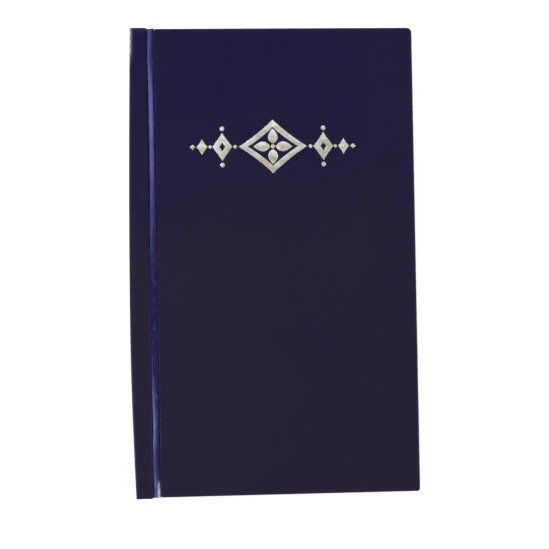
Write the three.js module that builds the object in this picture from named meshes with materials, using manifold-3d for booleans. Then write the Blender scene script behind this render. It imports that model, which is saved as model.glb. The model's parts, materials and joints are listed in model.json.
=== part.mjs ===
// Slim hardback pocket notebook, closed and lying on its back cover, in millimetres.
// +X runs from the spine to the fore edge, +Y to the head, +Z up through the front cover.
// The origin is the centre of the footprint, on the back cover's outer face.

import * as THREE from 'three';
import { mergeVertices } from 'three/addons/utils/BufferGeometryUtils.js';
import Module from 'manifold-3d';

const wasm = await Module();
wasm.setup();

// Driving dimensions: the case
const WIDTH = 97; // outer face of the spine to the fore edge of the boards
const HEIGHT = 160; // head to tail along the spine strip
const BOARD_DROP = 0.4; // how far the covered boards stop short of the strip at each end
const STRIP_WIDTH = 5.8; // flat strip between the spine's edge and the groove
const GROOVE_WIDTH = 2.8;
const GROOVE_DEPTH = 1.7;
const BOARD = 1.7; // thickness of the cover boards and the shoulder strips
const SPINE_BOARD = 1;
const SKIN = 0.25; // leathercloth covering
const TURN_IN = 14; // covering folded over the inside of the boards
const BOARD_RADIUS = 1.5; // covered corners at the fore edge
const SPINE_RADIUS = 0.8; // covered long edges of the spine
const LIP_RADIUS = 0.3; // edge where the strip drops into the groove
const AIR = 0.05; // gap left between flat layers that touch

// Driving dimensions: the book block
const SQUARE = 3; // boards past the leaves, at the fore edge, the head and the tail
const ENDPAPER = 0.12;
const LEAF = 0.08;
const LEAVES_PER_SIGNATURE = 12;
const SIGNATURES = 7;
const TURNING_LEAVES = 6; // top leaves of the first signature, modelled one by one
const STUB_GAP = 0.3; // between a turning leaf and its bound margin
const LINER = 0.15; // mull and kraft linings of the spine
const LINING_HEIGHT = 152;
const FLANGE_WIDTH = 18; // mull glued down inside each cover
const THREAD_RADIUS = 0.15;
const THREAD_STATIONS = [-60, -30, 0, 30, 60];
const BAND_RADIUS = 0.7; // head band and tail band

// Driving dimensions: the foil ornament on the front cover
const ORNAMENT_CENTRE = [0, 39];
const FOIL = 0.1;
const FOIL_RECESS = 0.12;
const FOIL_CLEARANCE = 0.06;

// Levels counted inwards from the outer face of a cover
const boardStart = SKIN + AIR;
const boardEnd = boardStart + BOARD;
const turnInStart = boardEnd + AIR;
const turnInEnd = turnInStart + SKIN;
const pastedownStart = turnInEnd + AIR;
const flyleafStart = pastedownStart + ENDPAPER + AIR;
const flyleafEnd = flyleafStart + ENDPAPER;
const textStart = flyleafEnd + AIR;

// Levels of the book block, upwards from the back
const signature = LEAF * LEAVES_PER_SIGNATURE;
const signaturePitch = signature + AIR;
const leafPitch = LEAF + AIR;
const firstSignatureLow = textStart + signaturePitch * (SIGNATURES - 1);
const stillLeavesHigh = firstSignatureLow + LEAF * (LEAVES_PER_SIGNATURE - TURNING_LEAVES);
const textHigh = stillLeavesHigh + leafPitch * TURNING_LEAVES;
const THICKNESS = textHigh + textStart;

// Places across the width
const spineFace = -WIDTH / 2;
const foreEdge = WIDTH / 2;
const grooveWall = spineFace + STRIP_WIDTH;
const boardEdge = grooveWall + GROOVE_WIDTH;
const stubEnd = boardEdge - STUB_GAP;
const leafFore = foreEdge - SQUARE;
const spineBoardInner = spineFace + SKIN + AIR + SPINE_BOARD;
const liningFace = spineBoardInner + AIR;
const mullFace = liningFace + LINER + AIR;
const threadFace = mullFace + LINER + AIR;
const foldFace = threadFace + 2 * THREAD_RADIUS + AIR;

// Half heights
const stripHalf = HEIGHT / 2;
const coverHalf = stripHalf - BOARD_DROP;
const boardHalf = coverHalf - SKIN - AIR;
const leafHalf = stripHalf - SQUARE;
const windowHalf = coverHalf - TURN_IN;

// Each cover counts its levels from its own outer face.
const levels = {
  back: (start, end) => [start, end],
  front: (start, end) => [THICKNESS - end, THICKNESS - start],
};

const materials = {
  covering: { color: 0x28233a, roughness: 0.5, metalness: 0 },
  board: { color: 0x8d8577, roughness: 0.95, metalness: 0 },
  foil: { color: 0xd8c7a6, roughness: 0.3, metalness: 0.9 },
  endpaper: { color: 0xf1ede2, roughness: 0.9, metalness: 0 },
  paper: { color: 0xf6f2e6, roughness: 0.92, metalness: 0 },
  mull: { color: 0xe6e0cf, roughness: 0.95, metalness: 0 },
  kraft: { color: 0xa9825a, roughness: 0.9, metalness: 0 },
  thread: { color: 0xf2eee2, roughness: 0.8, metalness: 0 },
  band: { color: 0x2d2a5e, roughness: 0.8, metalness: 0 },
};

function part(name, finish, geometry) {
  const mesh = new THREE.Mesh(geometry, new THREE.MeshStandardMaterial(materials[finish]));
  mesh.name = name;
  return mesh;
}

// A flat rectangular layer: its ends across the width, its half height and its levels.
function layer(name, finish, [left, right], halfHeight, [low, high]) {
  const mesh = part(name, finish, new THREE.BoxGeometry(right - left, 2 * halfHeight, high - low));
  mesh.position.set((left + right) / 2, 0, (low + high) / 2);
  return mesh;
}

function extrude(shape, length) {
  return new THREE.ExtrudeGeometry(shape, { depth: length, bevelEnabled: false, curveSegments: 6 });
}

// A section drawn in X and Z, extruded along Y.
function extrudeAlongHeight(shape, halfHeight) {
  return extrude(shape, 2 * halfHeight).rotateX(Math.PI / 2).translate(0, halfHeight, 0);
}

// Joining and cutting
function solid(geometry) {
  const bare = geometry.clone();
  bare.deleteAttribute('normal');
  bare.deleteAttribute('uv');
  const merged = mergeVertices(bare);
  return new wasm.Manifold(new wasm.Mesh({
    numProp: 3,
    vertProperties: merged.attributes.position.array,
    triVerts: new Uint32Array(merged.index.array),
  }));
}

function meshed(body) {
  const { vertProperties, triVerts } = body.getMesh();
  const geometry = new THREE.BufferGeometry();
  geometry.setAttribute('position', new THREE.BufferAttribute(vertProperties, 3));
  geometry.setIndex(new THREE.BufferAttribute(triVerts, 1));
  geometry.computeVertexNormals();
  return geometry;
}

// Cover pieces

// A board's outline: square beside the spine, rounded at the fore edge.
function boardOutline(left, right, halfHeight, radius) {
  const outline = new THREE.Shape();
  outline.moveTo(left, -halfHeight);
  outline.lineTo(right - radius, -halfHeight);
  outline.absarc(right - radius, radius - halfHeight, radius, -Math.PI / 2, 0);
  outline.absarc(right - radius, halfHeight - radius, radius, 0, Math.PI / 2);
  outline.lineTo(left, halfHeight);
  return outline;
}

// The board outline drawn in by an inset on every side, between two levels.
function boardPlate(inset, [low, high]) {
  const outline = boardOutline(
    boardEdge + inset, foreEdge - inset, coverHalf - inset, BOARD_RADIUS - inset);
  return extrude(outline, high - low).translate(0, 0, low);
}

// The covering wraps the board's face and edges and turns in at the head, the tail and the fore edge.
function coveringSolid(side) {
  const shell = solid(boardPlate(0, levels[side](0, turnInEnd)));
  const boardRoom = solid(boardPlate(SKIN, levels[side](SKIN, turnInStart)));
  const windowLeft = boardEdge - 1;
  const windowRight = foreEdge - TURN_IN;
  const [low, high] = levels[side](boardEnd, turnInEnd + 1);
  const window = new THREE.BoxGeometry(windowRight - windowLeft, 2 * windowHalf, high - low)
    .translate((windowLeft + windowRight) / 2, 0, (low + high) / 2);
  return shell.subtract(boardRoom).subtract(solid(window));
}

// A lozenge centred at x, as a prism whose sides stand out by grow.
function lozenge(x, halfWidth, halfHeight, grow, thickness) {
  const slope = Math.hypot(halfWidth, halfHeight);
  const wide = halfWidth + grow * slope / halfHeight;
  const tall = halfHeight + grow * slope / halfWidth;
  const outline = new THREE.Shape([
    new THREE.Vector2(x - wide, 0),
    new THREE.Vector2(x, -tall),
    new THREE.Vector2(x + wide, 0),
    new THREE.Vector2(x, tall),
  ]);
  return solid(extrude(outline, thickness));
}

// Ornament: an open lozenge round a solid one, threaded with smaller ones on a long needle.
function ornament(grow, top, thickness) {
  const beads = [[0, 3.4, 4.4], [-16, 3, 3.4], [16, 3, 3.4], [-22.5, 1.7, 2], [22.5, 1.7, 2]];
  const ring = lozenge(0, 10.5, 9.2, grow, thickness).subtract(lozenge(0, 8.3, 7.3, -grow, thickness));
  const needle = lozenge(0, 28.5, 0.8, grow, thickness);
  const whole = beads.reduce(
    (joined, [x, wide, tall]) => joined.add(lozenge(x, wide, tall, grow, thickness)),
    ring.add(needle));
  return meshed(whole).translate(...ORNAMENT_CENTRE, top - thickness);
}

function coverBoard(side) {
  return part(`${side}_board`, 'board', boardPlate(SKIN + AIR, levels[side](boardStart, boardEnd)));
}

function pastedown(side) {
  const levelsHere = levels[side](pastedownStart, pastedownStart + ENDPAPER);
  return layer(`${side}_pastedown`, 'endpaper', [boardEdge, leafFore], leafHalf, levelsHere);
}

function mullFlange(side) {
  const left = boardEdge + SKIN + AIR;
  const levelsHere = levels[side](turnInStart, turnInEnd);
  return layer(`${side}_mull_flange`, 'mull', [left, left + FLANGE_WIDTH], windowHalf - AIR, levelsHere);
}

const frontCover = new THREE.Group();
const recess = solid(ornament(FOIL_CLEARANCE, THICKNESS + FOIL, FOIL + FOIL_RECESS));
frontCover.add(
  coverBoard('front'),
  part('front_covering', 'covering', meshed(coveringSolid('front').subtract(recess))),
  part('foil_ornament', 'foil', ornament(0, THICKNESS, FOIL)),
  pastedown('front'),
  mullFlange('front'),
);

const backCover = new THREE.Group();
backCover.add(
  coverBoard('back'),
  part('back_covering', 'covering', meshed(coveringSolid('back'))),
  pastedown('back'),
  mullFlange('back'),
);

// Spine pieces

// One face of the spine covering, from groove to groove; inset is 0 outside and SKIN inside.
function spinePath(inset) {
  const path = new THREE.Path();
  const top = THICKNESS - inset;
  const wall = grooveWall - inset;
  const floor = GROOVE_DEPTH + inset;
  const [centreX, radius] = [spineFace + SPINE_RADIUS, SPINE_RADIUS - inset];
  const [lipX, lip] = [grooveWall - LIP_RADIUS, LIP_RADIUS - inset];
  path.moveTo(stubEnd, THICKNESS - floor);
  path.lineTo(wall, THICKNESS - floor);
  path.absarc(lipX, THICKNESS - LIP_RADIUS, lip, 0, Math.PI / 2);
  path.lineTo(centreX, top);
  path.absarc(centreX, THICKNESS - SPINE_RADIUS, radius, Math.PI / 2, Math.PI);
  path.absarc(centreX, SPINE_RADIUS, radius, Math.PI, 1.5 * Math.PI);
  path.absarc(lipX, LIP_RADIUS, lip, -Math.PI / 2, 0);
  path.lineTo(wall, floor);
  path.lineTo(stubEnd, floor);
  return path.getPoints(6);
}

function spineCovering() {
  const section = new THREE.Shape([...spinePath(0), ...spinePath(SKIN).reverse()]);
  return part('spine_covering', 'covering', extrudeAlongHeight(section, stripHalf));
}

function spineBoard() {
  const radius = SPINE_RADIUS - SKIN - AIR;
  const centreX = spineFace + SPINE_RADIUS;
  const section = new THREE.Shape();
  section.moveTo(spineBoardInner, boardStart);
  section.lineTo(spineBoardInner, THICKNESS - boardStart);
  section.absarc(centreX, THICKNESS - SPINE_RADIUS, radius, Math.PI / 2, Math.PI);
  section.absarc(centreX, SPINE_RADIUS, radius, Math.PI, 1.5 * Math.PI);
  return part('spine_board', 'board', extrudeAlongHeight(section, boardHalf));
}

function shoulderStrip(side) {
  const across = [liningFace, grooveWall - SKIN - AIR];
  return layer(`${side}_shoulder_strip`, 'board', across, boardHalf, levels[side](boardStart, boardEnd));
}

function endpaperGuard(side) {
  const levelsHere = levels[side](turnInStart, flyleafEnd);
  return layer(`${side}_endpaper_guard`, 'endpaper', [foldFace, stubEnd], leafHalf, levelsHere);
}

function spineLining(name, finish, face) {
  const between = [turnInStart, THICKNESS - turnInStart];
  return layer(name, finish, [face, face + LINER], LINING_HEIGHT / 2, between);
}

// A round rod standing through the thickness of the book block.
function rod(name, finish, radius, x, y) {
  const geometry = new THREE.CylinderGeometry(radius, radius, textHigh - textStart, 12);
  const mesh = part(name, finish, geometry.rotateX(Math.PI / 2));
  mesh.position.set(x, y, THICKNESS / 2);
  return mesh;
}

// Book block pieces

// A folded section: flat at the fore edge, round along its fold.
function foldedSection(name, low, high) {
  const radius = (high - low) / 2;
  const section = new THREE.Shape();
  section.moveTo(leafFore, low);
  section.lineTo(leafFore, high);
  section.absarc(foldFace + radius, low + radius, radius, Math.PI / 2, 1.5 * Math.PI);
  return part(name, 'paper', extrudeAlongHeight(section, leafHalf));
}

// The first signature: its turning leaves are cut away, down to their bound margin.
function firstSignature() {
  const radius = (textHigh - firstSignatureLow) / 2;
  const section = new THREE.Shape();
  section.moveTo(leafFore, firstSignatureLow);
  section.lineTo(leafFore, stillLeavesHigh);
  section.lineTo(stubEnd, stillLeavesHigh);
  section.lineTo(stubEnd, textHigh);
  section.absarc(foldFace + radius, firstSignatureLow + radius, radius, Math.PI / 2, 1.5 * Math.PI);
  return part('signature_1', 'paper', extrudeAlongHeight(section, leafHalf));
}

function flyleaf(side) {
  const levelsHere = levels[side](flyleafStart, flyleafEnd);
  return layer(`${side}_flyleaf`, 'endpaper', [boardEdge, leafFore], leafHalf, levelsHere);
}

const block = new THREE.Group();
const bandY = leafHalf + 2 * AIR + BAND_RADIUS;
const bandX = foldFace + BAND_RADIUS;
block.add(
  spineCovering(),
  spineBoard(),
  shoulderStrip('front'),
  shoulderStrip('back'),
  endpaperGuard('front'),
  endpaperGuard('back'),
  spineLining('spine_kraft_liner', 'kraft', liningFace),
  spineLining('spine_mull', 'mull', mullFace),
  rod('head_band', 'band', BAND_RADIUS, bandX, bandY),
  rod('tail_band', 'band', BAND_RADIUS, bandX, -bandY),
  firstSignature(),
);
THREAD_STATIONS.forEach((y, index) => {
  block.add(rod(`sewing_thread_${index + 1}`, 'thread', THREAD_RADIUS, threadFace + THREAD_RADIUS, y));
});
for (let number = 2; number <= SIGNATURES; number += 1) {
  const low = textStart + signaturePitch * (SIGNATURES - number);
  block.add(foldedSection(`signature_${number}`, low, low + signature));
}

const leaves = new THREE.Group();
leaves.add(flyleaf('front'), flyleaf('back'));
for (let number = 1; number <= TURNING_LEAVES; number += 1) {
  const high = textHigh - leafPitch * (number - 1);
  leaves.add(layer(`leaf_${number}`, 'paper', [boardEdge, leafFore], leafHalf, [high - LEAF, high]));
}

const notebook = new THREE.Group();
notebook.add(block, frontCover, backCover, leaves);

export default notebook;
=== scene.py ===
"""A slim hardback pocket notebook: leathercloth case, foil ornament, sewn ruled leaves.

Lengths are in millimetres. The spine lies along Y with its head at +Y, and the front cover is on top.
"""

import json
import math

import bmesh
import bpy
import numpy as np
from mathutils import Euler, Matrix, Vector


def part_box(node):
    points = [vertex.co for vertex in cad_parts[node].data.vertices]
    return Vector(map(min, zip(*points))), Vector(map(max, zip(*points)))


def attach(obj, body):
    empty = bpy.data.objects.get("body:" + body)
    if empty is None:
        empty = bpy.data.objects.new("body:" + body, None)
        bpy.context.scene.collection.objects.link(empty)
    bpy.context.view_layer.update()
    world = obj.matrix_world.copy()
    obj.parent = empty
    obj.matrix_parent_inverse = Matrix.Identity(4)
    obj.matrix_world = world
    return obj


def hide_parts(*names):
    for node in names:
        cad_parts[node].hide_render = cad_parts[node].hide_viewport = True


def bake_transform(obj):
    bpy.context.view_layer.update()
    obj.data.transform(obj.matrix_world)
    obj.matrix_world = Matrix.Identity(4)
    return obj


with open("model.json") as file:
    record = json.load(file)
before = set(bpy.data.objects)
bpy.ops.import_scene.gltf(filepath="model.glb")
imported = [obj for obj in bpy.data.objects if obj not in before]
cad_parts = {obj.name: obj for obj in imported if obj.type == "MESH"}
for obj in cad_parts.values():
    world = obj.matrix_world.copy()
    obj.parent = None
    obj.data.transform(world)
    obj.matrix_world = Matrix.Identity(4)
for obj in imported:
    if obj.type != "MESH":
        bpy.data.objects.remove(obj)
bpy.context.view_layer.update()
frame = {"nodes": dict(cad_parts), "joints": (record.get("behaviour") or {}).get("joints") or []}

MM = 0.001
TINY = 1e-9


def span(node):
    """Lowest and highest corner of a CAD node, in millimetres."""
    low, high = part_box(node)
    return np.array(low) / MM, np.array(high) / MM


# -------------------- sizes taken from the frame
cover_low, cover_high = span("front_covering")
spine_low, spine_high = span("spine_covering")
text_low, text_high = span("signature_2")
THICKNESS = spine_high[2]
SPINE_FACE, STRIP_HALF = spine_low[0], spine_high[1]
BOARD_EDGE, FORE_EDGE, COVER_HALF = cover_low[0], cover_high[0], cover_high[1]
COVER_THICKNESS = THICKNESS - cover_low[2]
GROOVE_WALL = span("front_shoulder_strip")[1][0] + 0.3
BOARD_END = span("spine_board")[1][1]
FOLD_FACE, LEAF_FORE, LEAF_HALF = text_low[0], text_high[0], text_high[1]
ORNAMENT_LOW, ORNAMENT_HIGH = span("foil_ornament")
HINGE_X = next(j["pos_m"][0] for j in frame["joints"] if j["name"] == "front_cover_hinge") / MM

# -------------------- sizes of the fine shapes
CLOTH = 0.25  # thickness of the leathercloth
TURN_IN = 14.0  # width of the cloth folded over to the inside of a cover
EDGE_ROUND, INNER_ROUND = 0.38, 0.18  # rounding of a board's outer edges, and of its edge at the groove
HEAD_CORNER, TAIL_CORNER, SPINE_CORNER = 1.8, 1.0, 0.7  # corner radii of a board, seen from above
FACE_DROP = 0.02  # depth of the faces below the full thickness
SPINE_ROUND = 0.55  # rounding between the spine and the flat strip
SPINE_BOW, BOW_PEAK, BOW_INSET = 1.3, -22.0, 0.3  # rise of the bow, its place along Y, and the ends' inset
SHALLOW_STRETCHES = ((0.82, -19.5, 26.5), (0.36, -67.0, 7.0), (0.28, 70.0, 8.0))  # share lost, place, reach
GROOVE_FILL = 2.2  # depth at which the inside of the groove's cloth lies flat
END_ROLL = 0.28  # radius of the cloth where it rolls over the spine's ends
END_GAP = 0.05  # clearance between the rolled cloth and the spine board
END_RECESS = 0.6  # how far the groove's filling stops short of the ends
RECESS_DEPTH, RECESS_SLOPE = 0.09, 0.22  # the stamped hollow round the foil
FOIL_THICKNESS, FOIL_BEVEL = 0.03, 0.012
GRAIN = 0.42  # spacing of the leathercloth's grain
RULE_GAP, RULE_WIDTH = 7.0, 0.3  # ruled lines
RULE_HEAD, RULE_FOOT, RULE_FORE = 12.0, 8.0, 0.3  # margins without ruled lines
SHEETS_PER_SIGNATURE = 6
SHEET, SHEET_PITCH = 0.072, 0.08  # a sheet's thickness, and from one sheet to the next
TRIM_JITTER = 0.05  # how unevenly the sheets' edges are cut
TURNING_LEAVES = 6
SIGNATURES = 7
SEWING_THREADS = 5


# -------------------- mesh helpers
def smoothstep(value):
    """0 up to value 0, 1 from value 1 on, and smooth between."""
    value = np.clip(value, 0, 1)
    return value * value * (3 - 2 * value)


def spaced(start, end, gap):
    """Evenly spaced places no further apart than gap, ends included."""
    return np.linspace(start, end, max(2, int(math.ceil((end - start) / gap)) + 1))


def arc(centre, radius, start, end, steps):
    """Points of an arc in X and Z; angles in degrees, from +X towards +Z."""
    turn = np.radians(np.linspace(start, end, steps))
    return np.stack([centre[0] + radius * np.cos(turn), centre[1] + radius * np.sin(turn)], 1)


def linked(name, data):
    """A new object of this data, in the scene."""
    found = bpy.data.objects.new(name, data)
    bpy.context.scene.collection.objects.link(found)
    return found


def mesh_object(name, points, faces, material, uv=None):
    """A smooth-shaded object. uv gives each point's place on the flat sheet."""
    mesh = bpy.data.meshes.new(name)
    mesh.from_pydata((np.asarray(points, float) * MM).tolist(), [], faces)
    mesh.validate()
    mesh.materials.append(material)
    mesh.polygons.foreach_set("use_smooth", [True] * len(mesh.polygons))
    if uv is not None:
        layer = mesh.uv_layers.new(name="flat")
        corners = np.zeros(len(mesh.loops), int)
        mesh.loops.foreach_get("vertex_index", corners)
        layer.data.foreach_set("uv", np.asarray(uv, float)[corners].ravel())
    return linked(name, mesh)


def grid_faces(rows, columns, close_rows=False):
    """Quads of a grid whose points are numbered row by row."""
    faces = []
    for i in range(rows if close_rows else rows - 1):
        for j in range(columns - 1):
            a, b = i * columns + j, ((i + 1) % rows) * columns + j
            faces.append((a, a + 1, b + 1, b))
    return faces


def tube_faces(rings, around):
    """Quads between closed rings whose points are numbered ring by ring, and a face over each end."""
    faces = []
    for low in range(0, (rings - 1) * around, around):
        for k in range(around):
            n = (k + 1) % around
            faces.append((low + k, low + n, low + around + n, low + around + k))
    for end in (0, rings - 1):
        faces.append(tuple(end * around + k for k in range(around)))
    return faces


def border(rows, columns):
    """The row and column of each point round a grid's border."""
    last_row, last_column = rows - 1, columns - 1
    loop = [(0, j) for j in range(last_column)] + [(i, last_column) for i in range(last_row)]
    loop += [(last_row, j) for j in range(last_column, 0, -1)] + [(i, 0) for i in range(last_row, 0, -1)]
    return loop


def places(piece):
    """Where the piece's vertices are."""
    return np.array([v.co for v in piece.data.vertices]) / MM


def paint(piece, name, values):
    """Stores a number on each vertex for the material to read."""
    attribute = piece.data.attributes.new(name, "FLOAT", "POINT")
    attribute.data.foreach_set("value", np.asarray(values, np.float32))


def paint_edges(piece):
    """The cut and folded edges of paper are 1, and its faces are 0."""
    attribute = piece.data.attributes.new("edge", "FLOAT", "CORNER")
    values = np.zeros(len(piece.data.loops), np.float32)
    for face in piece.data.polygons:
        values[face.loop_start:face.loop_start + face.loop_total] = abs(face.normal.z) < 0.5
    attribute.data.foreach_set("value", values)


def clean(piece, merge, turn_faces=True):
    """Merges points closer than merge, and turns the faces outwards if asked."""
    shape = bmesh.new()
    shape.from_mesh(piece.data)
    bmesh.ops.remove_doubles(shape, verts=shape.verts, dist=merge * MM)
    bmesh.ops.dissolve_degenerate(shape, edges=shape.edges, dist=merge * MM * 0.5)
    if turn_faces:
        bmesh.ops.recalc_face_normals(shape, faces=shape.faces)
    shape.to_mesh(piece.data)
    shape.free()


def finished_mesh(piece):
    """The mesh that the object's curve or modifiers make."""
    return bpy.data.meshes.new_from_object(piece.evaluated_get(bpy.context.evaluated_depsgraph_get()))


def soft_edges(piece, degrees=40):
    """Keeps edges sharper than this angle crisp."""
    piece.data.set_sharp_from_angle(angle=math.radians(degrees))


# -------------------- material helpers
def srgb(red, green, blue):
    """A display colour out of 255, as the shader's linear colour."""
    def linear(value):
        value /= 255
        return value / 12.92 if value <= 0.04045 else ((value + 0.055) / 1.055) ** 2.4
    return (linear(red), linear(green), linear(blue), 1.0)


class Shader:
    """A principled material and short calls for the nodes that feed it."""

    def __init__(self, name, roughness=0.8, metallic=0.0, specular=0.5):
        self.material = bpy.data.materials.new(name)
        self.material.use_nodes = True
        self.tree = self.material.node_tree
        self.surface = self.tree.nodes["Principled BSDF"]
        self.set(Roughness=roughness, Metallic=metallic, Specular_IOR_Level=specular)
        self.place = self.tree.nodes.new("ShaderNodeTexCoord").outputs["Object"]

    def set(self, **values):
        """Puts values on the principled shader's own inputs."""
        for name, value in values.items():
            self.put(self.surface.inputs[name.replace("_", " ")], value)

    def put(self, socket, value):
        """Links an output to the socket, or sets the socket's own value."""
        if isinstance(value, bpy.types.NodeSocket):
            self.tree.links.new(value, socket)
        else:
            socket.default_value = value

    def node(self, kind, inputs, **settings):
        """A new node. inputs are found by their names or their numbers."""
        made = self.tree.nodes.new(kind)
        for name, value in settings.items():
            setattr(made, name, value)
        for name, value in inputs.items():
            self.put(made.inputs[name], value)
        return made

    def noise(self, size, detail=3.0, roughness=0.5, stretch=(1, 1, 1)):
        """Noise from 0 to 1 whose features are about size across. A stretch below 1 makes them longer."""
        mapped = self.node("ShaderNodeMapping", {"Vector": self.place, "Scale": stretch})
        inputs = {"Vector": mapped.outputs[0], "Scale": 1 / (size * MM), "Detail": detail,
                  "Roughness": roughness}
        return self.node("ShaderNodeTexNoise", inputs).outputs["Fac"]

    def cells(self, size):
        """Distance, smoothed, to the nearest of points about size apart."""
        inputs = {"Vector": self.place, "Scale": 1 / (size * MM), "Smoothness": 0.6}
        return self.node("ShaderNodeTexVoronoi", inputs, feature="SMOOTH_F1").outputs["Distance"]

    def wave(self, size, direction, distortion):
        """Waves from 0 to 1, about a third of size apart."""
        inputs = {"Vector": self.place, "Scale": 1 / (size * MM), "Distortion": distortion}
        return self.node("ShaderNodeTexWave", inputs, bands_direction=direction).outputs["Fac"]

    def remap(self, value, low, high, to_low=0.0, to_high=1.0):
        """Maps low to to_low and high to to_high, and goes no further."""
        inputs = {"Value": value, "From Min": low, "From Max": high, "To Min": to_low, "To Max": to_high}
        return self.node("ShaderNodeMapRange", inputs).outputs["Result"]

    def math(self, operation, first, second):
        return self.node("ShaderNodeMath", {0: first, 1: second}, operation=operation).outputs[0]

    def blend(self, factor, first, second):
        """The first colour where factor is 0, and the second where it is 1."""
        return self.node("ShaderNodeMix", {0: factor, 6: first, 7: second}, data_type="RGBA").outputs[2]

    def number(self, name):
        """A number that paint or paint_edges stored on the mesh. It is 0 where none is stored."""
        return self.node("ShaderNodeAttribute", {}, attribute_name=name).outputs["Fac"]

    def bump(self, height, depth, strength=1.0, after=None):
        """Raises the surface by up to depth where height is 1."""
        inputs = {"Height": height, "Distance": depth * MM, "Strength": strength}
        if after is not None:
            inputs["Normal"] = after
        return self.node("ShaderNodeBump", inputs).outputs["Normal"]

    def axis(self, name, place=None):
        """One coordinate of the place: X, Y or Z."""
        split = self.node("ShaderNodeSeparateXYZ", {"Vector": place or self.place})
        return split.outputs[name]


# -------------------- materials
def leathercloth_material():
    """Glossy navy cloth, bluer in the pressed groove and pale where it is worn, with painted light: a bluer
    sheen towards the head and the spine, painted highlights on the spine's edge at the head, low in the
    groove at the tail and on the groove's scuffs, and painted shade along the spine's rounded edge.
    """
    shader = Shader("navy_leathercloth", roughness=0.27, specular=0.35)
    navy, violet, neutral = srgb(32, 26, 68), srgb(40, 34, 63), srgb(46, 39, 59)
    # painted light: the cloth turns bluer and darker towards the head and the spine and greyer towards the
    # tail, as the light falls on it; drift adds random tone on top
    height = shader.remap(shader.axis("Y"), -0.02, 0.085)
    drift = shader.noise(45, detail=2, roughness=0.4)
    sheen_and_tone = shader.math("MULTIPLY", height, shader.remap(shader.axis("X"), -0.04, 0.05, 1.15, 0.8))
    sheen_and_tone = shader.math("ADD", sheen_and_tone, shader.remap(drift, 0.3, 0.7, -0.2, 0.2))
    base = shader.blend(shader.remap(sheen_and_tone, 0.0, 0.5), neutral, violet)
    base = shader.blend(shader.remap(sheen_and_tone, 0.5, 1.1), base, navy)
    mottle = shader.noise(3.0, detail=4, roughness=0.6)
    base = shader.blend(shader.remap(mottle, 0.35, 0.75, 0.0, 0.22), base, srgb(44, 38, 62))
    grain = shader.cells(GRAIN)
    base = shader.blend(shader.remap(grain, 0.15, 0.6, 0.3, 0.0), base, srgb(20, 15, 36))
    # deeper blue in the pressed groove, and painted shade: the same deeper navy along the spine's rounded
    # edge
    pressed = shader.number("pressed")
    base = shader.blend(shader.math("MULTIPLY", pressed, 0.8), base, srgb(36, 27, 88))
    # light-blue streaks in the groove and on the spine's edge: scuffs painted in the colour of the groove's
    # highlight, partly wear and partly painted highlight
    scuff_glint = shader.noise(0.35, detail=4, roughness=0.7, stretch=(1, 0.12, 1))
    scuff_glint = shader.math("MULTIPLY", pressed, shader.remap(scuff_glint, 0.52, 0.72, 0.0, 0.3))
    base = shader.blend(scuff_glint, base, srgb(118, 128, 184))
    # pale where worn, and painted highlights on the spine's edge at the head and low in the groove at the
    # tail
    speckle = shader.remap(shader.noise(0.9, detail=4), 0.3, 0.6, 0.2, 1.0)
    wear_and_glint = shader.math("MULTIPLY", shader.number("wear_and_glint"), speckle)
    base = shader.blend(shader.remap(wear_and_glint, 0.0, 1.0), base, srgb(206, 201, 230))
    fine = shader.noise(0.16, detail=2)
    broad = shader.noise(9, detail=2)
    rough = shader.remap(shader.noise(14, detail=3), 0.3, 0.7, 0.25, 0.29)
    normal = shader.bump(broad, 0.02)
    normal = shader.bump(grain, 0.03, strength=0.3, after=normal)
    normal = shader.bump(fine, 0.01, strength=0.3, after=normal)
    shader.set(Base_Color=base, Roughness=rough, Normal=normal, Specular_Tint=(0.42, 0.46, 1.0, 1.0))
    return shader.material


def foil_material():
    """Pale gold foil with pink patches and painted highlight streaks, over the grain of the cloth."""
    shader = Shader("champagne_foil", roughness=0.36, metallic=0.5)
    champagne, pale, pink = srgb(222, 219, 198), srgb(255, 255, 250), srgb(190, 158, 140)
    # near-white streaks: painted highlight on the foil
    glint_streak = shader.noise(5.0, detail=3, stretch=(0.6, 1.6, 1))
    patch = shader.noise(2.2, detail=4, roughness=0.65)
    base = shader.blend(shader.remap(glint_streak, 0.4, 0.58), champagne, pale)
    base = shader.blend(shader.remap(patch, 0.52, 0.7, 0.0, 0.85), base, pink)
    crinkle = shader.bump(shader.noise(0.8, detail=3), 0.04)
    normal = shader.bump(shader.cells(GRAIN), 0.06, strength=0.8, after=crinkle)
    shader.set(Base_Color=base, Roughness=shader.remap(patch, 0.3, 0.7, 0.3, 0.5), Normal=normal)
    return shader.material


def board_material():
    shader = Shader("grey_board", roughness=0.95, specular=0.2)
    fibres = shader.noise(1.2, detail=5, stretch=(1, 3, 1))
    specks = shader.noise(0.25, detail=2)
    base = shader.blend(shader.remap(fibres, 0.3, 0.7), srgb(128, 120, 104), srgb(160, 152, 136))
    base = shader.blend(shader.remap(specks, 0.62, 0.75, 0, 0.5), base, srgb(90, 84, 74))
    shader.set(Base_Color=base, Normal=shader.bump(fibres, 0.05))
    return shader.material


def paper_colour(shader, light, dark):
    """The paper's colour, and the fibres that roughen it."""
    clouds = shader.noise(18, detail=4)
    fibres = shader.noise(0.5, detail=4, stretch=(1, 2.5, 1))
    base = shader.blend(shader.remap(clouds, 0.3, 0.7), dark, light)
    return base, fibres


def endpaper_material():
    shader = Shader("endpaper", roughness=0.85, specular=0.25)
    base, fibres = paper_colour(shader, srgb(247, 244, 236), srgb(240, 236, 225))
    shader.set(Base_Color=base, Normal=shader.bump(fibres, 0.012))
    return shader.material


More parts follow.
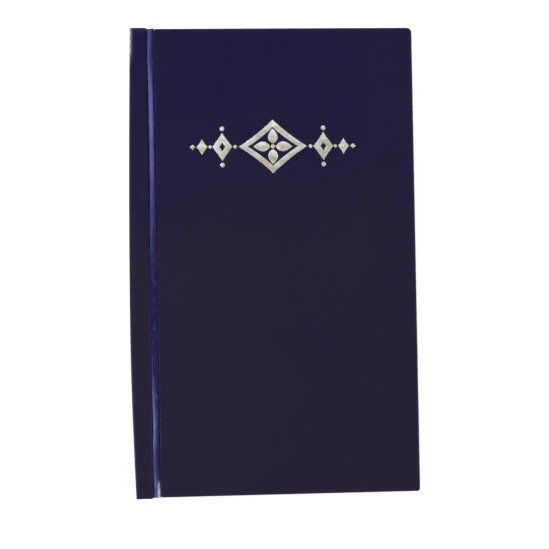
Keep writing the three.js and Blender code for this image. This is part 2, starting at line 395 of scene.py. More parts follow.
def ruled_paper_material():
    """Writing paper: faint lines across both faces, and plain layered edges."""
    shader = Shader("ruled_paper", roughness=0.88, specular=0.25)
    base, fibres = paper_colour(shader, srgb(251, 248, 240), srgb(246, 242, 231))
    flat = shader.node("ShaderNodeUVMap", {}, uv_map="flat").outputs[0]
    across, up = shader.axis("X", flat), shader.axis("Y", flat)
    ink = shader.math("LESS_THAN", shader.math("PINGPONG", up, RULE_GAP / 2), RULE_WIDTH / 2)
    for test, place, limit in (("LESS_THAN", up, LEAF_HALF - RULE_HEAD),
                               ("GREATER_THAN", up, RULE_FOOT - LEAF_HALF),
                               ("LESS_THAN", across, LEAF_FORE - RULE_FORE)):
        ink = shader.math("MULTIPLY", ink, shader.math(test, place, limit))
    fade = shader.remap(shader.noise(1.0, detail=2), 0.2, 0.8, 0.45, 0.75)
    base = shader.blend(shader.math("MULTIPLY", ink, fade), base, srgb(150, 165, 190))
    layers = shader.noise(0.12, detail=2, stretch=(0.02, 0.02, 1))
    edge = shader.number("edge")
    shade = shader.math("MULTIPLY", edge, shader.remap(layers, 0.35, 0.65, 0.0, 0.5))
    base = shader.blend(shade, base, srgb(196, 186, 164))
    shader.set(Base_Color=base, Normal=shader.bump(fibres, 0.01))
    return shader.material


def mull_material():
    """Open gauze: threads both ways."""
    shader = Shader("mull_gauze", roughness=0.95, specular=0.15)
    weave = shader.math("MAXIMUM", shader.wave(0.9, "X", 0.3), shader.wave(0.9, "Y", 0.3))
    base = shader.blend(weave, srgb(196, 184, 156), srgb(236, 230, 212))
    shader.set(Base_Color=base, Normal=shader.bump(weave, 0.08))
    return shader.material


def kraft_material():
    shader = Shader("kraft_paper", roughness=0.9, specular=0.2)
    fibres = shader.noise(0.7, detail=5, stretch=(1, 4, 1))
    base = shader.blend(shader.remap(fibres, 0.3, 0.7), srgb(158, 116, 74), srgb(190, 150, 106))
    shader.set(Base_Color=base, Normal=shader.bump(fibres, 0.02))
    return shader.material


def thread_material():
    """Waxed thread, twisted."""
    shader = Shader("waxed_thread", roughness=0.6, specular=0.4)
    twist = shader.wave(0.5, "DIAGONAL", 0.5)
    base = shader.blend(twist, srgb(205, 196, 172), srgb(244, 239, 224))
    shader.set(Base_Color=base, Normal=shader.bump(twist, 0.04))
    return shader.material


def band_material():
    """Silk wound in stripes of two colours."""
    shader = Shader("striped_band", roughness=0.55, specular=0.4)
    stripe = shader.remap(shader.number("stripe"), 0.4, 0.6)
    sheen = shader.noise(0.12, detail=3, stretch=(1, 1, 6))
    navy = shader.blend(sheen, srgb(34, 30, 84), srgb(58, 54, 120))
    white = shader.blend(sheen, srgb(214, 210, 198), srgb(244, 241, 232))
    shader.set(Base_Color=shader.blend(stripe, navy, white), Normal=shader.bump(sheen, 0.03))
    return shader.material


LEATHERCLOTH = leathercloth_material()
FOIL = foil_material()
BOARD = board_material()
ENDPAPER = endpaper_material()
PAPER = ruled_paper_material()
MULL = mull_material()
KRAFT = kraft_material()
THREAD = thread_material()
BAND = band_material()


# -------------------- the foil ornament's outline
def pointed_loop(x, y, wide, tall, power=0.86, steps=48):
    """A lozenge of these half sizes, with sides slightly drawn in."""
    turn = np.linspace(0, 2 * np.pi, steps, endpoint=False)
    cos, sin = np.cos(turn), np.sin(turn)
    across = wide * np.sign(cos) * np.abs(cos) ** (2 / power)
    up = tall * np.sign(sin) * np.abs(sin) ** (2 / power)
    return np.stack([x + across, y + up], 1)


def petal_loop(angle, start, length, width, steps=14):
    """A leaf shape pointing away from the centre."""
    share = np.linspace(0, 1, steps)
    along = start + length * share
    half = width / 2 * np.sin(np.pi * share ** 0.8) ** 0.9  # fullest a little nearer to the centre
    loop = np.concatenate([np.stack([along, -half], 1), np.stack([along, half], 1)[-2:0:-1]])
    cos, sin = math.cos(angle), math.sin(angle)
    return loop @ np.array([[cos, sin], [-sin, cos]])


def dot_loop(x, y, radius, steps=20):
    """A circle."""
    turn = np.linspace(0, 2 * np.pi, steps, endpoint=False)
    return np.stack([x + radius * np.cos(turn), y + radius * np.sin(turn)], 1)


def ornament_shapes():
    """Each shape is an outline and its hole, or None, about the ornament's centre."""
    half_wide, half_tall = (ORNAMENT_HIGH - ORNAMENT_LOW)[:2] / 2
    ring_wide = 0.41 * half_wide
    lozenge, outer_lozenge, tip = 17.3, 24.2, 27.45  # places on each side of the centre
    shapes = [(pointed_loop(0, 0, ring_wide, half_tall, 0.92),
               pointed_loop(0, 0, ring_wide - 3.0, half_tall - 2.5, 0.92))]
    shapes += [(petal_loop(k * math.pi / 2, 1.0, 5.6 - 0.5 * (k % 2), 3.3), None) for k in range(4)]
    shapes.append((dot_loop(0, 0, 0.7), None))
    for side in (-1, 1):
        shapes.append((dot_loop(side * (ring_wide + 1.2), 0, 0.6), None))
        hole = pointed_loop(side * lozenge, 0, 1.1, 1.7)
        shapes.append((pointed_loop(side * lozenge, 0, 3.4, 4.8, 0.95), hole))
        shapes.append((dot_loop(side * 21.4, 0, 0.55), None))
        shapes.append((pointed_loop(side * outer_lozenge, 0, 1.9, 2.8), None))
        shapes.append((pointed_loop(side * tip, 0, half_wide - tip, 0.9), None))
        shapes += [(dot_loop(side * lozenge, up, 0.75), None) for up in (-6.2, 6.2)]
    return shapes


def loop_distance(points, loop):
    """Signed distance from points to a closed outline, negative inside."""
    start, end = loop, np.roll(loop, -1, 0)
    edge = end - start
    offset = points[:, None] - start[None]
    share = np.clip((offset * edge).sum(2) / (edge ** 2).sum(1), 0, 1)
    near = np.linalg.norm(offset - share[..., None] * edge, axis=2).min(1)
    spans = (start[:, 1] > points[:, None, 1]) != (end[:, 1] > points[:, None, 1])
    rise = np.where(edge[:, 1] == 0, 1e-12, edge[:, 1])
    crossing = start[:, 0] + (points[:, None, 1] - start[:, 1]) * edge[:, 0] / rise
    inside = (spans & (points[:, None, 0] < crossing)).sum(1) % 2 == 1
    return np.where(inside, -near, near)


def ornament_distance(points):
    """Signed distance from points to the nearest of the ornament's shapes."""
    nearest = np.full(len(points), np.inf)
    for outline, hole in ORNAMENT:
        found = loop_distance(points, outline)
        if hole is not None:
            found = np.maximum(found, -loop_distance(points, hole))
        nearest = np.minimum(nearest, found)
    return nearest


ORNAMENT = ornament_shapes()
ORNAMENT_CENTRE = (ORNAMENT_LOW + ORNAMENT_HIGH)[:2] / 2
ORNAMENT_REACH = (30, 11)  # beyond this from the centre, nothing is stamped


def foil_ornament():
    """The ornament's foil, lying in its stamped hollow."""
    curve = bpy.data.curves.new("foil_lozenges", "CURVE")
    curve.dimensions = "2D"
    curve.fill_mode = "BOTH"
    curve.extrude = FOIL_THICKNESS / 2 * MM
    curve.bevel_depth = FOIL_BEVEL * MM
    curve.bevel_resolution = 1
    for outline, hole in ORNAMENT:
        for loop in [outline] if hole is None else [outline, hole]:
            spline = curve.splines.new("POLY")
            spline.points.add(len(loop) - 1)
            for point, (x, y) in zip(spline.points, loop * MM):
                point.co = (x, y, 0, 1)
            spline.use_cyclic_u = True
    drawn = linked("foil_lozenges", curve)
    bpy.context.view_layer.update()
    mesh = finished_mesh(drawn)
    bpy.data.objects.remove(drawn)
    mesh.materials.clear()
    mesh.materials.append(FOIL)
    piece = linked("foil_lozenges", mesh)
    clean(piece, 0.0005)
    piece.location = (*(ORNAMENT_CENTRE * MM), (THICKNESS - RECESS_DEPTH + FOIL_THICKNESS) * MM)
    soft_edges(piece, 30)
    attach(piece, "front_cover")
    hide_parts("foil_ornament")


# -------------------- covered boards
def face_lines(low, high, fine):
    """Grid lines from low to high: close together near both ends and inside the fine stretch."""
    ramp = np.array([0, 0.15, 0.35, 0.6, 0.9, 1.3, 2.0])
    wide_gap, fine_gap = 2.5, 0.25
    pieces = [low + ramp, high - ramp[::-1]]
    inner_low, inner_high = low + ramp[-1], high - ramp[-1]
    if fine is None:
        pieces.append(spaced(inner_low, inner_high, wide_gap))
    else:
        pieces += [spaced(inner_low, fine[0], wide_gap), spaced(*fine, fine_gap)]
        pieces.append(spaced(fine[1], inner_high, wide_gap))
    return np.unique(np.round(np.concatenate(pieces), 5))


def round_corner(x, y, centre):
    """Moves the points beyond the centre, both ways, from squares onto arcs about it."""
    towards = np.sign(centre)
    across, up = (x - centre[0]) * towards[0], (y - centre[1]) * towards[1]
    inside = (across > TINY) & (up > TINY)
    reach = np.maximum(across, up)
    turn = math.pi / 4 * np.minimum(across, up) / np.maximum(reach, TINY)
    turn = np.where(up > across, math.pi / 2 - turn, turn)
    new_x = centre[0] + towards[0] * reach * np.cos(turn)
    new_y = centre[1] + towards[1] * reach * np.sin(turn)
    return np.where(inside, new_x, x), np.where(inside, new_y, y)


def board_face(x, y):
    """Height of the covering's face: flat, with slight swells."""
    swell = 0.012 * np.sin(x / 11 + 1) * np.cos(y / 17)
    return THICKNESS - FACE_DROP + swell + 0.008 * np.sin(y / 9 + x / 23)


def stamped_depth(x, y):
    """Depth of the hollow that stamping the foil leaves in the cloth."""
    centred = np.stack([x, y], 1) - ORNAMENT_CENTRE
    close = (np.abs(centred) < ORNAMENT_REACH).all(1)
    distance = np.full(len(x), np.inf)
    distance[close] = ornament_distance(centred[close])
    return RECESS_DEPTH * smoothstep(0.5 - distance / RECESS_SLOPE)


def outward_directions(loop, edge, rows, columns, centres):
    """Which way is out at each point of the face's border, round its corners too."""
    outward = np.zeros((len(loop), 2))
    for index, ((i, j), point) in enumerate(zip(loop, edge)):
        outward[index] = (int(j == columns - 1) - int(j == 0), int(i == rows - 1) - int(i == 0))
        for centre in centres:
            arm = point[:2] - centre
            if (arm * np.sign(centre) >= -1e-6).all():
                outward[index] = arm / np.linalg.norm(arm)
    return outward


def edge_rings(edge, outward):
    """Rings of points from the face's border round the board's edge to its inner side."""
    rounding = EDGE_ROUND - (EDGE_ROUND - INNER_ROUND) * np.clip(-outward[:, 0], 0, 1) ** 2
    low, deep = THICKNESS - COVER_THICKNESS, COVER_THICKNESS
    steps = [(math.sin(t), rounding * (1 - math.cos(t))) for t in np.radians([22, 45, 68, 90])]
    steps += [(1.0, deep * share) for share in (0.45, 0.7)]
    steps += [(math.cos(t), deep - rounding * (1 - math.sin(t))) for t in np.radians([0, 30, 60, 90])]
    rings = []
    for out, depth in steps:
        ring = edge.copy()
        ring[:, :2] += outward * (out * rounding)[:, None]
        ring[:, 2] = edge[:, 2] * (1 - depth / deep) + low * depth / deep
        rings.append(ring)
    return rings


def wrap_surface(recess):
    """Outer surface of the covering round a front board, face up, with its turned-in margins."""
    left, right = BOARD_EDGE + INNER_ROUND, FORE_EDGE - EDGE_ROUND
    half = COVER_HALF - EDGE_ROUND
    fine_x = fine_y = None
    if recess:
        margin = 0.5
        fine_x, fine_y = zip(ORNAMENT_LOW[:2] - margin, ORNAMENT_HIGH[:2] + margin)
    columns, rows = face_lines(left, right, fine_x), face_lines(-half, half, fine_y)
    x, y = (a.ravel() for a in np.meshgrid(columns, rows))
    centres = []
    for corner_x, inward in ((left, 1), (right, -1)):
        for corner_y in (-half, half):
            fore_corner = HEAD_CORNER if corner_y > 0 else TAIL_CORNER
            radius = (SPINE_CORNER if corner_x == left else fore_corner) - EDGE_ROUND
            centres.append((corner_x + inward * radius, corner_y - math.copysign(radius, corner_y)))
            x, y = round_corner(x, y, centres[-1])
    z = board_face(x, y)
    if recess:
        z = z - stamped_depth(x, y)
    face = np.stack([x, y, z], 1)
    faces = grid_faces(len(rows), len(columns))
    loop = border(len(rows), len(columns))
    rim = np.array([i * len(columns) + j for i, j in loop])
    edge = face[rim]
    rings = edge_rings(edge, outward_directions(loop, edge, len(rows), len(columns), centres))
    for share in (0.12, 0.3, 0.6, 1.0):  # across the turned-in margin
        ring = rings[-1].copy()
        ring[:, 0] = np.clip(edge[:, 0], left + 0.15 * share, right - share * TURN_IN)
        inner_half = half - share * TURN_IN
        ring[:, 1] = np.clip(edge[:, 1], -inner_half, inner_half)
        rings.append(ring)
    previous = rim
    for number in range(len(rings)):
        here = len(face) + number * len(rim) + np.arange(len(rim))
        for k in range(len(rim)):
            n = (k + 1) % len(rim)
            faces.append((previous[k], here[k], here[n], previous[n]))
        previous = here
    return np.concatenate([face] + rings), faces


def turned_over(points, faces):
    """The same shape for the book's back."""
    flipped = points.copy()
    flipped[:, 2] = THICKNESS - flipped[:, 2]
    return flipped, [tuple(reversed(f)) for f in faces]


def thicken(piece, thickness):
    """Gives an outer surface its thickness, inwards."""
    solidify = piece.modifiers.new("thickness", "SOLIDIFY")
    solidify.thickness = thickness * MM
    solidify.offset = -1
    thick = finished_mesh(piece)
    piece.modifiers.clear()
    piece.data = thick


def wear_of_board(piece):
    """Slight wear on the board's outer edges, gone within a millimetre of them."""
    place = places(piece)
    inset = np.minimum(FORE_EDGE - place[:, 0], COVER_HALF - np.abs(place[:, 1]))
    inset = np.minimum(inset, (place[:, 0] - BOARD_EDGE) + 1.0)
    paint(piece, "wear_and_glint", 0.08 * np.exp(-np.clip(inset, 0, None) / 0.3))


def covered_board(side):
    """The leathercloth round one board."""
    points, faces = wrap_surface(recess=side == "front")
    if side == "back":
        points, faces = turned_over(points, faces)
    piece = mesh_object(f"{side}_leathercloth", points, faces, LEATHERCLOTH)
    clean(piece, 0.002, turn_faces=False)
    thicken(piece, CLOTH)
    wear_of_board(piece)
    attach(piece, f"{side}_cover")
    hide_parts(f"{side}_covering")


# -------------------- spine covering
def groove_section(pressed):
    """Front half of the spine covering's outer face, from mid-spine to the board.

    pressed is 1 where the groove is deepest.
    """
    top = THICKNESS - FACE_DROP
    lip, foot = 0.3, 0.2  # roundings at the strip's edge and at the bottom of the groove
    crest, deep = 0.42, 0.42 + 0.65 * pressed  # depths of the slope's two ends
    run, tuck = 0.48, 0.35 * pressed  # how far the cloth goes on towards the board, and down beside it
    sag = 0.05  # of the strip and of the slope
    foot_x, crest_x = GROOVE_WALL + foot, BOARD_EDGE - 0.5
    points = [[(SPINE_FACE, z) for z in np.linspace(THICKNESS / 2, THICKNESS - SPINE_ROUND, 6)[:-1]]]
    points.append(arc((SPINE_FACE + SPINE_ROUND, top - SPINE_ROUND), SPINE_ROUND, 180, 90, 9))
    strip = np.linspace(SPINE_FACE + SPINE_ROUND, GROOVE_WALL - lip, 12)[1:-1]
    middle = (strip - strip[0]) / (strip[-1] - strip[0])
    points.append(np.stack([strip, top - sag * np.sin(np.pi * middle)], 1))
    points.append(arc((GROOVE_WALL - lip, top - lip), lip, 90, 8, 7))
    points.append(arc((foot_x, top - deep + foot), foot, 190, 288, 6))
    start, end = points[-1][-1], np.array([crest_x, top - crest])
    slope = np.linspace(0, 1, 9)[1:, None]
    swell = sag * np.sin(np.pi * slope)
    points.append(start + (end - start) * slope + swell * [0, 1])
    over = np.linspace(0, np.pi / 2, 6)[1:]
    points.append(np.stack([crest_x + run * np.sin(over), top - crest - tuck * (1 - np.cos(over))], 1))
    return np.concatenate([np.asarray(p, float) for p in points])


def section_normals(section):
    """Unit normals on the outer side of a section that runs up the spine and out along the face."""
    along = np.gradient(section, axis=0)
    along /= np.linalg.norm(along, axis=1)[:, None]
    return np.stack([-along[:, 1], along[:, 0]], 1)


def spine_bow(y):
    """How far the spine bows outwards along the book."""
    reach = STRIP_HALF + np.where(y < BOW_PEAK, BOW_PEAK, -BOW_PEAK)
    return SPINE_BOW * np.cos(np.pi / 2 * (y - BOW_PEAK) / reach) - BOW_INSET


def spine_rows():
    """Place along the spine and depth in the cloth: along its outer face, and back along its inner face."""
    straight, stop = STRIP_HALF - END_ROLL, BOARD_END + END_GAP
    bevel = 0.08
    body = spaced(-straight, straight, 2.0)
    turn = np.radians([30, 60, 90, 120, 150])
    rows = [(y, 0.0) for y in body]
    rows += [(straight + END_ROLL * math.sin(t), END_ROLL * (1 - math.cos(t))) for t in turn]
    rows += [(straight, 2 * END_ROLL), (stop, 2 * END_ROLL), (stop - bevel, CLOTH)]
    rows += [(y, CLOTH) for y in body[::-1] if abs(y) < stop - 1]
    rows += [(bevel - stop, CLOTH), (-stop, 2 * END_ROLL), (-straight, 2 * END_ROLL)]
    rows += [(-straight - END_ROLL * math.sin(t), END_ROLL * (1 - math.cos(t))) for t in turn[::-1]]
    return rows


def spine_row_points(y, inset):
    """Points across the covering at one place along the spine, at one depth in the cloth."""
    lost = sum(share * math.exp(-((y - place) / reach) ** 2) for share, place, reach in SHALLOW_STRETCHES)
    section = groove_section(1 - lost)
    row = np.zeros((len(section), 3))
    row[:, [0, 2]] = section - section_normals(section) * inset
    row[:, 1] = y
    floor = smoothstep((section[:, 0] - GROOVE_WALL) / 0.6)  # 1 in the groove, 0 on the strip
    filled = floor * min(1, inset / CLOTH)
    row[:, 2] += filled * (THICKNESS - GROOVE_FILL - row[:, 2])
    if abs(y) > BOARD_END + END_GAP:
        row[:, 1] -= END_RECESS * filled * np.sign(y)
    ripple = 0.02 * math.sin(y / 3.1) + 0.015 * math.sin(y / 1.7 + 2) + 0.03 * math.sin(y / 11)
    row[:, 2] += (floor - filled) * ripple
    outer = 1 - smoothstep((section[:, 0] - SPINE_FACE) / (GROOVE_WALL - SPINE_FACE))
    row[:, 0] -= outer * spine_bow(y)
    return row


def folded_faces(loop):
    """Faces across a closed loop of points that runs out and back."""
    faces = []
    low, high = 0, len(loop) - 1
    while high - low > 1:
        middle = [loop[low + 1]] if low + 1 == high - 1 else [loop[low + 1], loop[high - 1]]
        faces.append((loop[low], *middle, loop[high]))
        low, high = low + 1, high - 1
    return faces


def paint_spine(piece, side):
    """Slight wear on edges and ends, the front's painted highlights at the spine's head and low in the groove
    at the tail, and how far the cloth is pressed, with painted shade along the spine's rounded edge.
    """
    place = places(piece)
    x, y = place[:, 0], place[:, 1]
    over_face = place[:, 2] - THICKNESS if side == "front" else -place[:, 2]
    from_corner = np.hypot(x - SPINE_FACE + spine_bow(y), over_face)
    wear_and_glint = 0.03 * np.exp(-np.clip(np.minimum(from_corner, STRIP_HALF - np.abs(y)), 0, None) / 0.4)
    if side == "front":
        # painted highlight, partly wear, on the edge beside the spine at the head; and a painted highlight
        # spot low in the groove at the tail
        head_edge_rub_and_glint = smoothstep((y - 66) / 8) * np.exp(-np.clip(from_corner - 0.4, 0, None) / 0.25)
        tail_groove_glint = smoothstep((-73.5 - y) / 4) * np.exp(-((x - BOARD_EDGE + 0.6) / 0.38) ** 2)
        tail_groove_glint *= smoothstep((over_face + 1.3) / 0.3)
        wear_and_glint = np.maximum(wear_and_glint, np.maximum(0.75 * head_edge_rub_and_glint, 2.0 * tail_groove_glint))
    paint(piece, "wear_and_glint", wear_and_glint)
    # the pressed groove, and painted shade along the spine's rounded edge, where the cloth turns from the
    # light
    groove = smoothstep((x - GROOVE_WALL + 0.1) / 0.3) * smoothstep((BOARD_EDGE + 0.1 - x) / 0.5)
    paint(piece, "pressed", np.maximum(groove, 0.5 * np.exp(-from_corner / 0.6)))


def spine_cloth_half(side):
    """A closed skin: its outer and inner faces meet in rolled ends at the head and the tail."""
    rows = [spine_row_points(y, inset) for y, inset in spine_rows()]
    points = np.concatenate(rows)
    around, across = len(rows), len(rows[0])
    faces = grid_faces(around, across, close_rows=True)
    for column in (0, across - 1):
        faces += folded_faces([row * across + column for row in range(around)])
    if side == "back":
        points, faces = turned_over(points, faces)
    piece = mesh_object(f"{side}_spine_leathercloth", points, faces, LEATHERCLOTH)
    clean(piece, 0.0005)
    paint_spine(piece, side)
    soft_edges(piece, 60)
    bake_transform(piece)
    if side == "front":
        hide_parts("spine_covering")


def turn_in_lining(end, start, inner_x, strip_low, wall):
    """The turned-in cloth inside the strips and the spine board, at the head (1) or the tail (-1)."""
    deep = THICKNESS - strip_low
    cloth, bevel = 0.22, 0.1
    inner = [(wall, deep), (inner_x + bevel, deep), (inner_x, deep - bevel)]
    inner += [(x, THICKNESS - z) for x, z in inner[::-1]]
    outer_x, outer_deep = inner_x + cloth, deep - cloth
    outer = [(wall, outer_deep), (outer_x + bevel, outer_deep), (outer_x, outer_deep - bevel)]
    outer += [(x, THICKNESS - z) for x, z in outer[::-1]]
    rows = [(start + 0.3, 1.0), (start - 2.8, 1.0), (start - 3.05, 0.3)]  # place along Y, share of the cloth
    points = []
    for y, share in rows:
        for (x0, z0), (x1, z1) in zip(inner, outer):
            points += [(x0, end * y, z0), (x0 + share * (x1 - x0), end * y, z0 + share * (z1 - z0))]
    wide = len(inner)

    def quad(*corners):
        return tuple((row * wide + k) * 2 + face for row, k, face in corners)

    faces = []
    for row in range(len(rows) - 1):
        for k in range(wide - 1):
            for face in (0, 1):
                near, far = [(row, k, face), (row, k + 1, face)], [(row + 1, k + 1, face), (row + 1, k, face)]
                faces.append(quad(*near, *far))
        for k in (0, wide - 1):
            faces.append(quad((row, k, 0), (row, k, 1), (row + 1, k, 1), (row + 1, k, 0)))
    for row in (0, len(rows) - 1):
        for k in range(wide - 1):
            faces.append(quad((row, k, 0), (row, k + 1, 0), (row, k + 1, 1), (row, k, 1)))
    return np.array(points), faces


def spine_turn_in(end_name, end):
    """Leathercloth folded over the ends of the spine board and the shoulder strips."""
    gap = 0.06
    inner_x = span("spine_board")[1][0] + gap
    strip_low = THICKNESS - span("front_shoulder_strip")[0][2] + gap
    wall = GROOVE_WALL - CLOTH - gap
    skin = CLOTH + 0.04
    half = [arc((SPINE_FACE + SPINE_ROUND, THICKNESS - SPINE_ROUND), SPINE_ROUND - skin, 180, 90, 5),
            [(wall, THICKNESS - skin), (wall, THICKNESS - strip_low), (inner_x, THICKNESS - strip_low)]]
    upper = np.concatenate(half)
    section = np.concatenate([upper, upper[::-1] * [1, -1] + [0, THICKNESS]])
    start, depth, bevel = BOARD_END + 0.03, 0.4, 0.1
    towards_middle = np.sign((inner_x + SPINE_FACE) / 2 - section[:, 0]) * (section[:, 0] < inner_x - 0.2)
    rings = []
    for y, inset in ((start, 0.0), (start + depth - bevel, 0.0), (start + depth, bevel)):
        across = section[:, 0] + inset * towards_middle
        rings.append(np.stack([across, np.full(len(section), end * y), section[:, 1]], 1))
    faces = tube_faces(len(rings), len(section))
    lining, lining_faces = turn_in_lining(end, start, inner_x, strip_low, wall)
    faces += [tuple(len(rings) * len(section) + k for k in face) for face in lining_faces]
    piece = mesh_object(f"{end_name}_spine_turn_in", np.concatenate(rings + [lining]), faces, LEATHERCLOTH)
    clean(piece, 0.0005)
    paint(piece, "wear_and_glint", np.full(len(piece.data.vertices), 0.05))
    soft_edges(piece, 30)
    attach(piece, "block")


# -------------------- paper
def sheet_lines(low, high, bend):
    """Places across a sheet: 6 mm apart, and close together where it bends."""
    pieces = [spaced(low, bend[0], 2.0), spaced(*bend, 0.35), spaced(bend[1], high, 6.0)]
    return np.unique(np.round(np.concatenate(pieces), 5))


def flat_sheet(name, x_lines, half, low, high, material, lift=None):
    """A closed thin sheet between two levels. lift(x, y) raises both faces."""
    y_lines = spaced(-half, half, 4.0)
    x, y = (a.ravel() for a in np.meshgrid(x_lines, y_lines))
    raised = np.zeros(len(x)) if lift is None else lift(x, y)
    count, wide, tall = len(x), len(x_lines), len(y_lines)
    points = np.concatenate([np.stack([x, y, np.full(count, z) + raised], 1) for z in (high, low)])
    top = grid_faces(tall, wide)
    faces = top + [tuple(count + k for k in reversed(f)) for f in top]
    loop = [i * wide + j for i, j in border(tall, wide)]
    faces += [(a, a + count, b + count, b) for a, b in zip(loop, loop[1:] + loop[:1])]
    piece = mesh_object(name, points, faces, material, points[:, :2])
    paint_edges(piece)
    soft_edges(piece)
    return piece


PAGE_BEND = (HINGE_X, HINGE_X + 6.5)  # the stretch of a leaf that bends as it turns
ROOT_X = FOLD_FACE + 0.75  # where the pieces for single leaves start
LEAF_GAP = 0.006


def turning_leaf(name, node, material):
    """A flat leaf from the fold to the fore edge, with close lines across the stretch near the gutter."""
    low, high = span(node)
    x_lines = sheet_lines(ROOT_X, high[0], PAGE_BEND)
    piece = flat_sheet(name, x_lines, high[1], low[2], high[2] - LEAF_GAP, material)
    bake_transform(piece)
    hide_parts(node)


def endpaper(side):
    """Pastedown and hinge in one sheet: the edges of the turned-in cloth show through it."""
    low, high = span(f"{side}_pastedown")
    outwards = 1 if side == "front" else -1
    bend = (BOARD_EDGE - 2.4, BOARD_EDGE - 0.2)
    window = FORE_EDGE - TURN_IN
    step, slope = 0.1, 0.9  # down from the turned-in cloth to the board

    def lift(x, y):
        inset = np.minimum(FORE_EDGE - x, COVER_HALF - np.abs(y)) - TURN_IN
        return outwards * step * smoothstep(inset / slope) * smoothstep(x - BOARD_EDGE)

    pieces = [sheet_lines(ROOT_X, BOARD_EDGE + 2, bend)]
    for start, end, gap in ((BOARD_EDGE + 2, window - 2, 4.0), (window - 2, window + 1, 0.3),
                            (window + 1, high[0], 3.0)):
        pieces.append(spaced(start, end, gap)[1:])
    x_lines = np.concatenate(pieces)
    piece = flat_sheet(f"{side}_endpaper", x_lines, high[1], low[2], high[2], ENDPAPER, lift)
    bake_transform(piece)
    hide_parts(f"{side}_pastedown", f"{side}_endpaper_guard")


def folded_sheet(top, bottom, fore_top, fore_bottom, half_head, half_tail, stub=None):
    """One folded sheet of two leaves. stub is where its upper leaf stops, if that leaf is its own piece."""
    radius = (top - bottom) / 2
    clearance, tightest = 0.02, 0.004
    centre = (FOLD_FACE + radius + clearance, (top + bottom) / 2)
    upper_end = fore_top if stub is None else stub
    outer = np.concatenate([[(upper_end, top)], arc(centre, radius, 90, 270, 9), [(fore_bottom, bottom)]])
    inside = arc(centre, max(radius - SHEET, tightest), 90, 270, 9)
    inner = np.concatenate([[(upper_end, top - SHEET)], inside, [(fore_bottom, bottom + SHEET)]])
    section = np.concatenate([outer, inner[::-1]])
    count = len(section)
    ends = [np.stack([section[:, 0], np.full(count, y), section[:, 1]], 1) for y in (-half_tail, half_head)]
    faces = []
    for k in range(count):
        n = (k + 1) % count
        faces.append((k, n, count + n, count + k))
    for k in range(count // 2 - 1):
        a, b, c, d = k, k + 1, count - 2 - k, count - 1 - k
        faces.append((a, d, c, b))
        faces.append((count + a, count + b, count + c, count + d))
    return np.concatenate(ends), faces


def signature(number, dice):
    """Folded sheets, one inside the other. The first signature's upper leaves are pieces of their own."""
    node = f"signature_{number}"
    low, high = span(node)
    first = number == 1
    all_points, all_faces = [], []
    offset = 0
    for sheet in range(SHEETS_PER_SIGNATURE):
        top = span(f"leaf_{sheet + 1}")[1][2] if first else high[2] - SHEET_PITCH * sheet
        bottom = low[2] + SHEET_PITCH * sheet
        trims = high[0] - TRIM_JITTER * dice.random(2)
        ends = high[1] - TRIM_JITTER * dice.random(2)
        points, faces = folded_sheet(top, bottom, *trims, *ends, stub=ROOT_X - 0.03 if first else None)
        all_points.append(points)
        all_faces += [tuple(offset + k for k in f) for f in faces]
        offset += len(points)
    points = np.concatenate(all_points)
    piece = mesh_object(f"sewn_{node}", points, all_faces, PAPER, points[:, :2])
    clean(piece, 0.0002)
    paint_edges(piece)
    soft_edges(piece, 30)
    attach(piece, "block")
    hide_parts(node)


def wound_band(end_name):
    """A bead of silk wound in stripes, glued to the end of the folds."""
    low, high = span(f"{end_name}_band")
    centre, radius = (low + high)[:2] / 2, (high[0] - low[0]) / 2
    turns, steps, around = 22, 6, 20
    total = turns * steps
    hollow = 0.13  # between one turn and the next
    closing = {0: 0.075087, total: 0.000016}  # how narrow the bead's ends are
    angles = 2 * np.pi * np.arange(around) / around
    points, stripes = [], []
    for row in range(total + 1):
        swell = 1 - hollow * (1 - abs(math.sin(math.pi * row / steps)))
        reach = radius * swell * closing.get(row, 1)
        level = np.full(around, low[2] + (high[2] - low[2]) * row / total)
        x, y = centre[0] + reach * np.cos(angles), centre[1] + reach * np.sin(angles)
        points.append(np.stack([x, y, level], 1))
        stripes += [float((row // steps) % 4 < 2)] * around
    faces = tube_faces(total + 1, around)
    piece = mesh_object(f"wound_{end_name}_band", np.concatenate(points), faces, BAND)
    paint(piece, "stripe", stripes)
    clean(piece, 0.0002)
    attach(piece, "block")
    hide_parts(f"{end_name}_band")


# -------------------- carried-over CAD nodes
def dress(node, material):
    """Gives a CAD node a material. Its mesh stays as it is."""
    held = frame["nodes"][node].data.materials
    held.clear()
    held.append(material)


def dress_frame():
    """Materials for the CAD nodes that no piece replaces."""
    for node in ("front_board", "back_board", "spine_board", "front_shoulder_strip", "back_shoulder_strip"):
        dress(node, BOARD)
    for node in ("front_mull_flange", "back_mull_flange", "spine_mull"):
        dress(node, MULL)
    dress("spine_kraft_liner", KRAFT)
    for number in range(1, SEWING_THREADS + 1):
        dress(f"sewing_thread_{number}", THREAD)


# -------------------- studio
CAMERA_PLACE = (-25.86, -14.1, 453.66)
CAMERA_TURN = (1.267, -3.308, -0.974)  # degrees
CAMERA_LENS = 85
FLOOR_REACH, FLOOR_LEVEL = 9000, -0.02
# name, place, point aimed at, size, radiance
SOFTBOXES = (
    ("head_side_strip", (-396, 143, 483), (HINGE_X, 50, THICKNESS), (95, 100), 30),
    ("tail_side_strip", (-396, -119, 483), (HINGE_X, -58, THICKNESS), (55, 80), 70),
    ("head_fill", (60, 620, 560), (0, 0, 0), (700, 300), 4),
    ("right_fill", (640, -120, 520), (0, 0, 0), (300, 600), 3),
)


def camera():
    """The photo's view, from almost straight above."""
    lens = bpy.data.cameras.new("camera")
    lens.lens = CAMERA_LENS
    lens.sensor_width = 36
    lens.clip_start = 0.01
    found = linked("camera", lens)
    found.location = Vector(CAMERA_PLACE) * MM
    found.rotation_euler = Euler([math.radians(a) for a in CAMERA_TURN])
    bpy.context.scene.camera = found


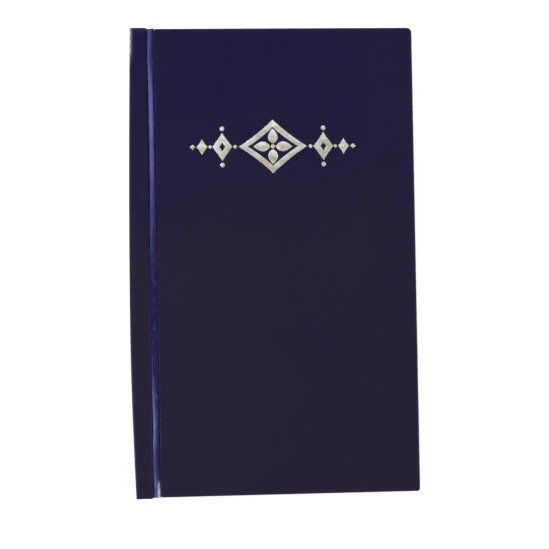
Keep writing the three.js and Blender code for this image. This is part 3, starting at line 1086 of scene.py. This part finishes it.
def softbox(name, place, aim, size, radiance):
    """A rectangular light of this size with an even radiance."""
    light = bpy.data.lights.new(name, "AREA")
    light.shape = "RECTANGLE"
    light.size, light.size_y = size[0] * MM, size[1] * MM
    light.energy = radiance * math.pi * light.size * light.size_y
    found = linked(name, light)
    found.location = Vector(place) * MM
    found.rotation_euler = (Vector(aim) - Vector(place)).to_track_quat("-Z", "Y").to_euler()


def floor():
    """A pale plane that glows a little, to be as bright as the photo's background."""
    shader = Shader("pale_floor", roughness=0.9, specular=0.1)
    base = shader.blend(shader.noise(60, detail=2), srgb(236, 236, 236), srgb(240, 240, 240))
    shader.set(Base_Color=base, Emission_Color=(1, 1, 1, 1), Emission_Strength=0.6)
    corners = [(x * FLOOR_REACH, y * FLOOR_REACH, FLOOR_LEVEL)
               for x, y in ((-1, -1), (1, -1), (1, 1), (-1, 1))]
    mesh_object("floor", corners, [(0, 1, 2, 3)], shader.material)


def surroundings():
    """A pale room that is dim from 27 degrees up, so that the glossy cover stays dark."""
    world = bpy.data.worlds.new("studio")
    world.use_nodes = True
    tree = world.node_tree
    direction = tree.nodes.new("ShaderNodeTexCoord").outputs["Generated"]
    split = tree.nodes.new("ShaderNodeSeparateXYZ")
    tree.links.new(direction, split.inputs[0])
    dim = tree.nodes.new("ShaderNodeMapRange")
    dim.interpolation_type = "SMOOTHSTEP"
    tree.links.new(split.outputs["Z"], dim.inputs["Value"])
    for name, value in (("From Min", 0.04), ("From Max", 0.45), ("To Min", 0.7), ("To Max", 0.06)):
        dim.inputs[name].default_value = value
    tree.links.new(dim.outputs["Result"], tree.nodes["Background"].inputs["Strength"])
    tree.nodes["Background"].inputs["Color"].default_value = (1, 1, 1, 1)
    bpy.context.scene.world = world


def studio():
    camera()
    floor()
    surroundings()
    for settings in SOFTBOXES:
        softbox(*settings)
    bpy.context.scene.view_settings.view_transform = "Standard"


# -------------------- the notebook
studio()
dress_frame()
for side in ("front", "back"):
    covered_board(side)
    spine_cloth_half(side)
    endpaper(side)
    turning_leaf(f"{side}_free_endpaper", f"{side}_flyleaf", ENDPAPER)
foil_ornament()
dice = np.random.default_rng(7)
for number in range(1, SIGNATURES + 1):
    signature(number, dice)
for number in range(1, TURNING_LEAVES + 1):
    turning_leaf(f"ruled_leaf_{number}", f"leaf_{number}", PAPER)
for end_name, end in (("head", 1), ("tail", -1)):
    wound_band(end_name)
    spine_turn_in(end_name, end)
